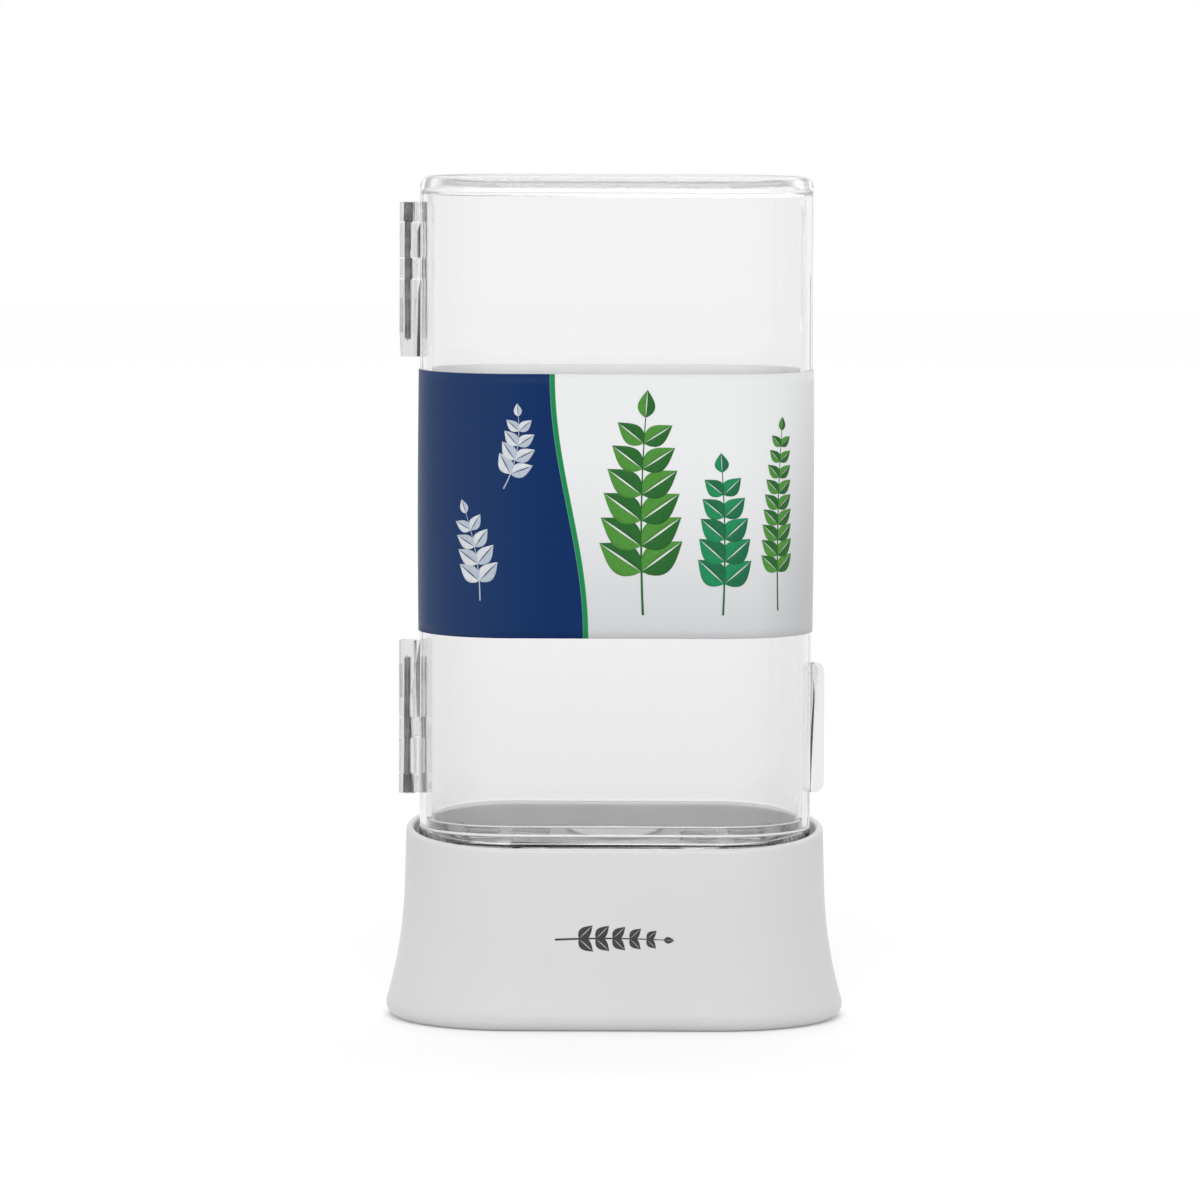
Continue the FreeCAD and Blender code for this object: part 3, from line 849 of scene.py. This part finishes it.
@dataclass
class WaterBase:
    """The white base with its sloping round lip, foot ring, inner ribs and small printed sprig."""

    finish: Material
    ink: Material
    rim_radius: float = 31.8
    neck_flare: float = 0.8
    foot_radius: float = 38.0
    foot_round: float = 4.0
    wall: float = 2.3
    wall_steps: int = 30
    floor: float = 3.5
    floor_round: float = 5.0
    lip_round: float = 1.1
    lip_steps: int = 8
    rim_height: float = 57.0
    rim_rise: float = 7.5
    recess_radius: float = 31.0
    recess: float = 1.0
    recess_round: float = 0.3
    ring_round: float = 0.2
    rib_top: float = 40.0
    rib_sunk: float = 0.5
    rib_steps: int = 12
    rib_thickness: float = 2.4
    rib_place: float = 24.0
    rib_inner: float = 25.3
    mark_height: float = 26.9
    mark_lift: float = 0.03
    outer: VesselSection = field(init=False)
    inner: VesselSection = field(init=False)

    def __post_init__(self) -> None:
        """Work out the outer and inner sections."""
        sizes = np.array([self.rim_radius, self.rim_radius + self.neck_flare, self.foot_radius])
        self.outer = VesselSection(*sizes, 0.0, self.foot_round)
        self.inner = VesselSection(*(sizes - self.wall), self.floor, self.floor_round)

    def wall_rows(self, section: VesselSection, turn: Array) -> Array:
        """Run rows up one face of the wall, from the foot's arc to the start of the lip.

        The rim is a plane that rises towards the back. Height goes evenly from the arc's end to
        the local rim less the lip's round.

        Args:
            section: The face's section.
            turn: The way out at each step round the stadium.

        Returns:
            Radius and height, by row and step.
        """
        start = section.foot_arc()[-1, 1]
        share = np.linspace(0.0, 1.0, self.wall_steps)[1:, None]
        slope = self.rim_rise / (2 * self.rim_radius)
        end = self.rim_height + slope * section.rim * np.sin(turn) - self.lip_round
        height = start + share * (end - start)
        return np.stack([section.radius_at(height), height], axis=1)

    def lip_rows(self, last: Array, inwards: int, angle: Array) -> Array:
        """Round half of the lip on from a face's last row, with its centre inwards, -1 or 1."""
        radius = last[0] + self.lip_round * (inwards + np.cos(angle)[:, None])
        return np.stack([radius, last[1] + self.lip_round * np.sin(angle)[:, None]], axis=1)

    def surface(self) -> Array:
        """Carry the section round the stadium: underside, outside, lip, inside and floor."""
        centre, turn = stadium_round()
        edge, soft = self.recess_radius, self.recess_round
        under = [(0.0, self.recess), (edge / 2, self.recess), (edge - soft, self.recess)]
        ring = [(edge, self.recess - soft), (edge, self.ring_round), (edge + self.ring_round, 0.0)]
        outside = self.wall_rows(self.outer, turn)
        inside = self.wall_rows(self.inner, turn)
        angle = np.linspace(0.0, np.pi / 2, self.lip_steps)
        parts = [
            under + ring,
            self.outer.foot_arc(),
            outside,
            self.lip_rows(outside[-1], -1, angle[1:]),
            self.lip_rows(inside[-1], 1, angle[:-1] + np.pi / 2),
            inside[::-1],
            self.inner.foot_arc()[::-1],
            [(edge / 2, self.floor), (0.0, self.floor)],
        ]
        # A part without steps of its own is the same at every step.
        rows = [np.reshape(part, (len(part), 2, -1)) + np.zeros(len(turn)) for part in parts]
        section = np.concatenate(rows)
        return swept(centre, turn, section[:, 0], section[:, 1])

    def rib(self, near: Spot, way: Spot) -> Array:
        """Make one upright rib that starts at a point and runs outwards into the wall.

        At each height it ends half the wall's thickness outside the wall's inner face.

        Args:
            near: The middle of the rib's inner edge, in plan.
            way: The direction outwards, along X or Y.

        Returns:
            The rib's points, by row and corner.
        """
        height = np.linspace(self.floor - self.rib_sunk, self.rib_top, self.rib_steps)[:, None]
        start = abs(near[0]) - STRAIGHT_HALF if way[0] else abs(near[1])
        above_arc = np.maximum(height, self.inner.foot_arc()[-1, 1])
        reach = self.inner.radius_at(above_arc) + self.wall / 2 - start
        out = reach * np.array([0.0, 1.0, 1.0, 0.0])
        side = np.array([-1.0, -1.0, 1.0, 1.0]) * self.rib_thickness / 2
        x = near[0] + way[0] * out - way[1] * side
        y = near[1] + way[1] * out + way[0] * side
        sides = np.stack([x, y, np.broadcast_to(height, x.shape)], axis=-1)
        low, high = (np.tile(sides[row].mean(axis=0), (1, 4, 1)) for row in (0, -1))
        return np.concatenate([low, sides, high])

    def build(self) -> None:
        """Make the vessel, its ribs and its mark."""
        shell = grid_piece("base_vessel", self.surface(), self.finish)
        hold(shell, "base", "base_plastic", "water_base")
        signs = (-1, 1)
        ribs = [
            ((side * self.rib_place, face * self.rib_inner), (0.0, face))
            for side in signs
            for face in signs
        ]
        ribs += [((side * (STRAIGHT_HALF + self.rib_inner), 0.0), (side, 0.0)) for side in signs]
        for number, (near, way) in enumerate(ribs, start=1):
            rib = grid_piece(f"base_rib_{number}", self.rib(near, way), self.finish)
            hold(rib, "base", "base_plastic")
        self.mark()

    def mark(self) -> None:
        """Print a small lying sprig on the front of the base."""
        # Its root, lean, length, leaf, pairs and bend come first.
        sprig = Sprig((-17.5, 0.0), 0.05, 32.0, 5.6, 5, -0.1, stem_width=0.6, spread=0.75)
        flat = sprig.drawing()
        along, up, layer = flat.points.T
        height = self.mark_height + up
        front = -self.outer.radius_at(height) - self.mark_lift - layer
        placed = replace(flat, points=np.stack([along, front, height], axis=-1))
        hold(placed.piece("base_mark", [self.ink]), "base", "base_plastic")


# Card band


@dataclass
class CardBand:
    """The card band: two halves that part with the case, and the motifs printed on the front.

    A place on the band is a length along it from its left edge and a height. The length runs
    round the left quarter circle, along the straight and round the right quarter circle.
    """

    finish: Material
    cut_edge: Material
    greens: Sequence[Material]
    emeralds: Sequence[Material]
    whites: Sequence[Material]
    radius: float
    bottom: float
    top: float
    bulge: float
    gap: float = 0.2
    lift: float = 0.04
    steps: int = 150
    rows: int = 24

    @property
    def quarter(self) -> float:
        """The length of one quarter circle."""
        return self.radius * math.pi / 2

    def surface(
        self, along: Array, height: Array, side: Side, lift: float | Array = 0.0
    ) -> Array:
        """Place points on the band's outer face.

        The way out turns with length on the quarter circles, the centre moves with it on the
        straight, and the radius swells by a sine of height.

        Args:
            along: The length from the left edge.
            height: The height.
            side: Which half of the band.
            lift: How far outside the face.

        Returns:
            The points.
        """
        first = np.clip(along, 0.0, self.quarter)
        straight = np.clip(along - self.quarter, 0.0, 2 * STRAIGHT_HALF)
        last = np.clip(along - self.quarter - 2 * STRAIGHT_HALF, 0.0, self.quarter)
        turn = np.pi + (first + last) / self.radius
        share = np.clip((height - self.bottom) / (self.top - self.bottom), 0.0, 1.0)
        reach = self.radius + lift + self.bulge * np.sin(np.pi * share)
        return swept(straight - STRAIGHT_HALF, -side.value * turn, reach, height)

    def sheet(self, side: Side) -> Piece:
        """Make one half of the band as a thin card with cut edges.

        Args:
            side: Which half.

        Returns:
            The half.
        """
        length = 2 * (self.quarter + STRAIGHT_HALF)
        along = np.linspace(self.gap, length - self.gap, self.steps)
        height = np.linspace(self.bottom, self.top, self.rows)
        points = self.surface(*np.meshgrid(along, height), side)
        faces = grid_faces(self.rows, self.steps, closed=False)
        if side is Side.BACK:
            faces = faces[:, ::-1]
        name = f"card_band_{side.name.lower()}"
        piece = mesh_piece(name, points, faces, [self.finish, self.cut_edge], tidy=False)
        thicken(piece, "board", CARD_THICKNESS).material_offset_rim = 1
        return piece

    def motif(self, sprigs: Sequence[Sprig]) -> Film:
        """Lay a group of sprigs, drawn by x and height, on the front half.

        Args:
            sprigs: The sprigs.

        Returns:
            The group as one drawing.
        """
        flat = Film.joined([sprig.drawing() for sprig in sprigs])
        x, height, layer = flat.points.T
        along = x + STRAIGHT_HALF + self.quarter
        placed = self.surface(along, height, Side.FRONT, self.lift + layer)
        return replace(flat, points=placed)

    def build(self) -> None:
        """Make both halves and print the front."""
        hold(self.sheet(Side.FRONT), "door", "printed_card", "card_front")
        hold(self.sheet(Side.BACK), "case", "printed_card", "card_back")
        up = math.pi / 2
        foot = self.bottom
        # Each sprig's root, lean, length, leaf, pairs and bend come first.
        leafy = [
            Sprig((8.0, foot + 7.0), up + 0.05, 58.0, 15.0, 6, -0.12, spread=0.95),
            Sprig((49.0, foot + 8.0), up + 0.04, 53.0, 7.4, 9, -0.12, stem_width=0.5),
        ]
        middle = [
            Sprig((31.5, foot + 7.0), up - 0.05, 42.0, 10.5, 5, 0.12, stem_width=0.6, plump=0.38)
        ]
        small = [
            Sprig((-40.0, foot + 11.0), up, 26.0, 8.0, 4, 0.35, stem_width=0.4),
            Sprig((-33.0, foot + 44.0), up - 0.5, 22.0, 7.0, 4, 0.6, stem_width=0.4),
        ]
        for name, sprigs, inks in (
            ("card_leaf_sprigs", leafy, self.greens),
            ("card_emerald_sprig", middle, self.emeralds),
            ("card_white_sprigs", small, self.whites),
        ):
            hold(self.motif(sprigs).piece(name, inks), "door", "printed_card")


# Clear case and tray


@dataclass
class ClearCase:
    """The fixed half and the door, in clear plastic, with two white beads round the front that
    paint highlights on their clear edges.
    """

    finish: Material
    highlight_paint: Material
    collar_radius: float = 25.0
    collar_top: float = 59.2
    collar_highlight_bead: float = 0.3
    ledge: float = 57.3
    ledge_highlight_bead: float = 0.45
    proud: float = 0.02
    round_steps: int = 13
    end_steps: int = 3

    def bead(self, name: str, radius: float, level: float, thickness: float) -> Piece:
        """Make a thin round bead, a painted highlight, along the front half of the stadium, with
        pointed ends.

        A point is (centre + reach * cos turn, reach * sin turn, level + thickness * sin around),
        with reach = radius + thickness * cos around. The thickness grows from nothing.

        Args:
            name: The piece's name.
            radius: How far the bead's middle lies from the stadium's middle line.
            level: The height of its middle.
            thickness: Its own radius.

        Returns:
            The bead.
        """
        bend = np.linspace(0.0, np.pi / 2, BEND_STEPS)
        run = np.linspace(-STRAIGHT_HALF, STRAIGHT_HALF, RUN_STEPS)
        ends = np.full(BEND_STEPS, STRAIGHT_HALF)
        centre = np.concatenate([-ends, run, ends])
        turn = np.concatenate([bend - np.pi, np.full_like(run, -np.pi / 2), bend - np.pi / 2])
        step = np.arange(len(turn))
        grown = np.clip(np.minimum(step, step[::-1]) / self.end_steps, 0.0, 1.0)
        around = np.linspace(0.0, 2 * np.pi, self.round_steps)[:, None]
        reach = radius + thickness * grown * np.cos(around)
        height = level + thickness * grown * np.sin(around)
        return grid_piece(name, swept(centre, turn, reach, height), self.highlight_paint, closed=False)

    def build(self) -> None:
        """Dress both halves, and lay the painted highlight beads on the collar's top and at the
        door's foot.
        """
        back = merged_copy("back_shell", "case_back_half", self.finish)
        hold(back, "case", "clear_plastic", "back_shell")
        hold(merged_copy("door", "case_door", self.finish), "door", "clear_plastic", "door")
        wall_radius = float(node_box("back_shell")[1][1])
        sunk = self.ledge_highlight_bead - self.proud
        # The white beads paint the bright highlights along the clear edges of the collar's top and
        # the door's foot.
        for name, radius, level, thickness in (
            ("collar_top_painted_highlight", self.collar_radius, self.collar_top, self.collar_highlight_bead),
            ("case_ledge_painted_highlight", wall_radius - sunk, self.ledge - sunk, self.ledge_highlight_bead),
        ):
            hold(self.bead(name, radius, level, thickness), "case", "clear_plastic")


@dataclass
class DrainTray:
    """The slotted tray and the knob in its middle."""

    finish: Material
    knob_finish: Material
    stem_radius: float = 2.5
    stem_round: float = 0.3
    stem_height: float = 2.2
    disc_round: float = 0.5
    boss_radius: float = 4.25
    boss_foot: float = 0.8
    boss_round: float = 1.2
    dish_edge: Spot = (1.6, 0.1)
    dish_floor: Spot = (0.8, 0.5)
    steps: int = 64

    def knob_profile(self) -> Array:
        """Give the knob's profile from its stem's foot to the dimple in its boss.

        Returns:
            Radius and height, one line each.
        """
        low, high = node_box("tray_knob")
        bottom, top = low[2], high[2]
        stem, boss = self.stem_radius, self.boss_radius
        disc = bottom + self.stem_height
        middle = ((high[0] - low[0]) / 2 - self.disc_round, disc + self.disc_round)
        root = (boss + self.boss_foot, disc + 2 * self.disc_round + self.boss_foot)
        crown = (boss - self.boss_round, top - self.boss_round)
        (edge, edge_depth), (floor, depth) = self.dish_edge, self.dish_floor
        parts = (
            [(0.0, bottom), (stem - self.stem_round, bottom)],
            [(stem, bottom + self.stem_round), (stem, disc)],
            arc(middle, self.disc_round, -np.pi / 2, np.pi / 2, steps=9),
            arc(root, self.boss_foot, -np.pi / 2, -np.pi, steps=6),
            arc(crown, self.boss_round, 0.0, np.pi / 2, steps=7),
            [(edge, top - edge_depth), (floor, top - depth), (0.0, top - depth)],
        )
        return np.concatenate(parts)

    def build(self) -> None:
        """Dress the tray and make the knob."""
        tray = merged_copy("drain_tray", "tray_plate", self.finish)
        hold(tray, "tray", "tray_plastic", "drain_tray")
        points = turned(self.knob_profile(), self.steps)
        knob = grid_piece("tray_lift_knob", points, self.knob_finish)
        hold(knob, "tray", "tray_plastic", "tray_knob")


# Hinge pins


@dataclass
class HingePins:
    """Two steel pins with knurled heads."""

    finish: Material
    shank_radius: float = 1.1
    head_radius: float = 1.4
    head_length: float = 5.75
    head_round: Spot = (0.25, 0.2)
    head_rows: int = 46
    tip_round: float = 0.5
    teeth: int = 8
    knurl_depth: float = 0.26
    knurl_pitch: float = 1.6
    steps: int = 96

    def profile(self) -> Array:
        """Give the pin's profile from the middle of its head to its tip.

        Returns:
            Radius and distance, one line each.
        """
        low, high = node_box("upper_hinge_pin")
        length = high[2] - low[2]
        inset, bevel = self.head_round
        along_head = np.linspace(bevel, self.head_length - bevel, self.head_rows)
        before_tip = length - self.tip_round
        tip_centre = (self.shank_radius - self.tip_round, before_tip)
        parts = [
            [(0.0, 0.0), (self.head_radius - inset, 0.0)],
            np.stack([np.full_like(along_head, self.head_radius), along_head], axis=1),
            [(self.shank_radius, self.head_length), (self.shank_radius, before_tip)],
            arc(tip_centre, self.tip_round, 0.0, np.pi / 2, steps=6)[1:],
            [(0.0, length)],
        ]
        return np.concatenate(parts)

    def pin(self, node: str, name: str, head_up: bool) -> Piece:
        """Make one pin.

        The knurl takes depth * (1 - sqrt(min(|sin(n a + k z)|, |sin(n a - k z)|))) off the head's
        radius, where a is the angle and z the distance along the head, so that two sets of
        grooves cross.

        Args:
            node: The CAD node that the pin replaces.
            name: The piece's name.
            head_up: Whether the head is at the top.

        Returns:
            The pin.
        """
        low, high = node_box(node)
        profile = self.profile()
        points = turned(profile, self.steps)
        round_head = self.teeth / 2 * np.linspace(0.0, 2 * np.pi, self.steps, endpoint=False)
        wave = np.pi / self.knurl_pitch * profile[:, 1:]
        raised = np.minimum(np.abs(np.sin(round_head + wave)), np.abs(np.sin(round_head - wave)))
        on_head = np.isclose(profile[:, :1], self.head_radius)
        cut = np.where(on_head, self.knurl_depth * (1.0 - np.sqrt(raised)), 0.0)
        scale = 1.0 - cut / self.head_radius
        x = (low[0] + high[0]) / 2 + points[..., 0] * scale
        y = (low[1] + high[1]) / 2 + points[..., 1] * scale
        z = high[2] - points[..., 2] if head_up else low[2] + points[..., 2]
        return grid_piece(name, np.stack([x, y, z], axis=-1), self.finish)

    def build(self) -> None:
        """Make both pins."""
        for place, head_up in (("upper", True), ("lower", False)):
            node = f"{place}_hinge_pin"
            hold(self.pin(node, f"{place}_knurled_pin", head_up), "case", "pin_steel", node)


# Studio


@dataclass
class Studio:
    """A plain pale floor, soft lamps and the camera at the photograph's angle."""

    distance: float = 2150.0
    camera_height: float = 311.0
    side_shift: float = -4.6
    pitch: float = math.radians(4.965)
    roll: float = math.radians(0.2)
    lens: float = 217.8
    sensor: float = 36.0
    farthest: float = 50000.0
    floor_size: float = 9000.0
    floor_steps: int = 9
    floor_white: Colour = (0.86, 0.86, 0.86)
    surround: float = 0.56
    near_glow: float = 0.20
    far_glow: float = 0.50
    near: float = 200.0
    far: float = 2600.0
    aim_height: float = 110.0
    bounces: int = 24

    def camera(self) -> None:
        """Stand the camera in front, a little above the keeper's top, and tip it down."""
        data = bpy.data.cameras.new("camera")
        data.lens = self.lens
        data.sensor_width = self.sensor
        data.clip_end = self.farthest * MM
        camera = bpy.data.objects.new("camera", data)
        stand = Vector((self.side_shift, -self.distance, self.camera_height)) * MM
        tip = Matrix.Rotation(math.pi / 2 - self.pitch, 4, "X")
        camera.matrix_world = Matrix.Translation(stand) @ tip @ Matrix.Rotation(self.roll, 4, "Z")
        bpy.context.scene.collection.objects.link(camera)
        bpy.context.scene.camera = camera

    def world(self) -> None:
        """Surround the keeper with plain soft light, and show it white."""
        nodes = Nodes("soft_surround", world=True)
        strength = nodes.ramp(nodes.seen(), 0.0, 1.0, self.surround, 1.0)
        light = nodes.node("Background", Color=(1.0, 1.0, 1.0), Strength=strength)
        bpy.context.scene.world = nodes.finish(light)

    def floor(self) -> None:
        """Lay a plain white floor that keeps the keeper's shadow."""
        nodes = Nodes("pale_floor")
        white = nodes.shader(Base_Color=self.floor_white, Roughness=0.9, Specular_IOR_Level=0.0)
        x, y, _ = nodes.place()
        level = nodes.ramp(nodes.reach(x, y), self.near, self.far, self.near_glow, self.far_glow)
        glow = nodes.node("Emission", Strength=nodes.math("MULTIPLY", nodes.seen(), level))
        material = nodes.finish(nodes.node("AddShader", white, glow))
        edge = np.linspace(-self.floor_size / 2, self.floor_size / 2, self.floor_steps)
        across, deep = np.meshgrid(edge, edge)
        points = np.stack([across, deep, np.zeros_like(across)], axis=-1)
        faces = grid_faces(self.floor_steps, self.floor_steps, closed=False)
        mesh_piece("floor", points, faces, [material], tidy=False)

    def light_paths(self) -> None:
        """Let light go on through every clear wall, so that no edge ends black."""
        cycles = bpy.context.scene.cycles
        cycles.max_bounces = self.bounces
        cycles.transmission_bounces = self.bounces
        cycles.glossy_bounces = self.bounces
        cycles.transparent_max_bounces = self.bounces

    def lamp(self, name: str, place: Triple, size: float, watts: float) -> None:
        """Hang one square soft lamp that points at the keeper's middle.

        Args:
            name: The lamp's name.
            place: Where it hangs, in millimetres.
            size: The length of its side.
            watts: Its power.
        """
        data = bpy.data.lights.new(name, "AREA")
        data.size = size * MM
        data.energy = watts
        lamp = bpy.data.objects.new(name, data)
        lamp.location = Vector(place) * MM
        aim = Vector((0.0, 0.0, self.aim_height)) * MM - lamp.location
        lamp.rotation_euler = aim.to_track_quat("-Z", "Y").to_euler()
        bpy.context.scene.collection.objects.link(lamp)

    def build(self) -> None:
        """Set the whole studio."""
        bpy.context.scene.view_settings.view_transform = "Standard"
        self.light_paths()
        self.camera()
        self.world()
        self.floor()
        self.lamp("key_lamp", (-60.0, -1500.0, 1400.0), size=1200.0, watts=11.5)
        self.lamp("top_lamp", (0.0, 500.0, 1700.0), size=1100.0, watts=9.0)


def make_band() -> CardBand:
    """Size the card band by its CAD node, and mix its inks."""
    low, high = node_box("card_front")
    bottom, top = float(low[2]), float(high[2])
    radius = float(high[0]) - STRAIGHT_HALF
    bulge = 0.22
    skin = radius - CARD_THICKNESS / 2
    card = CoatedCard(bottom, top - bottom, skin, bulge).make()
    cut_edge = PrintInk("card_cut_edge", (0.90, 0.90, 0.895)).make()
    pairs = (
        {"dark_leaf_ink": (0.020, 0.15, 0.025), "light_leaf_ink": (0.085, 0.32, 0.045)},
        {"dark_emerald_ink": (0.010, 0.17, 0.07), "light_emerald_ink": (0.014, 0.29, 0.11)},
        {"soft_white_ink": (0.55, 0.62, 0.72), "white_ink": (0.80, 0.83, 0.87)},
    )
    inks = ([PrintInk(name, colour).make() for name, colour in pair.items()] for pair in pairs)
    return CardBand(card, cut_edge, *inks, radius, bottom, top, bulge)


def main() -> None:
    """Build the studio and every piece of the keeper, in order."""
    logging.basicConfig(level=logging.INFO, format="%(name)s %(message)s")
    Studio().build()
    clear = ClearPlastic().make()
    white = MouldedPlastic("base_plastic", (0.80, 0.80, 0.805)).make()
    milky = ClearPlastic(
        "knob_plastic", (0.90, 0.90, 0.90), most_haze=0.12, depth_density=1.0, clearness=0.5
    ).make()
    grey_ink = PrintInk("grey_ink", (0.06, 0.06, 0.065)).make()
    WaterBase(white, grey_ink).build()
    # White plastic for the beads that paint highlights on the case's clear edges.
    ClearCase(clear, MouldedPlastic("painted_highlight_white", (0.93, 0.93, 0.93)).make()).build()
    DrainTray(clear, milky).build()
    HingePins(PinSteel().make()).build()
    make_band().build()
    LOG.info("the keeper is complete")


if __name__ == "__main__":
    main()
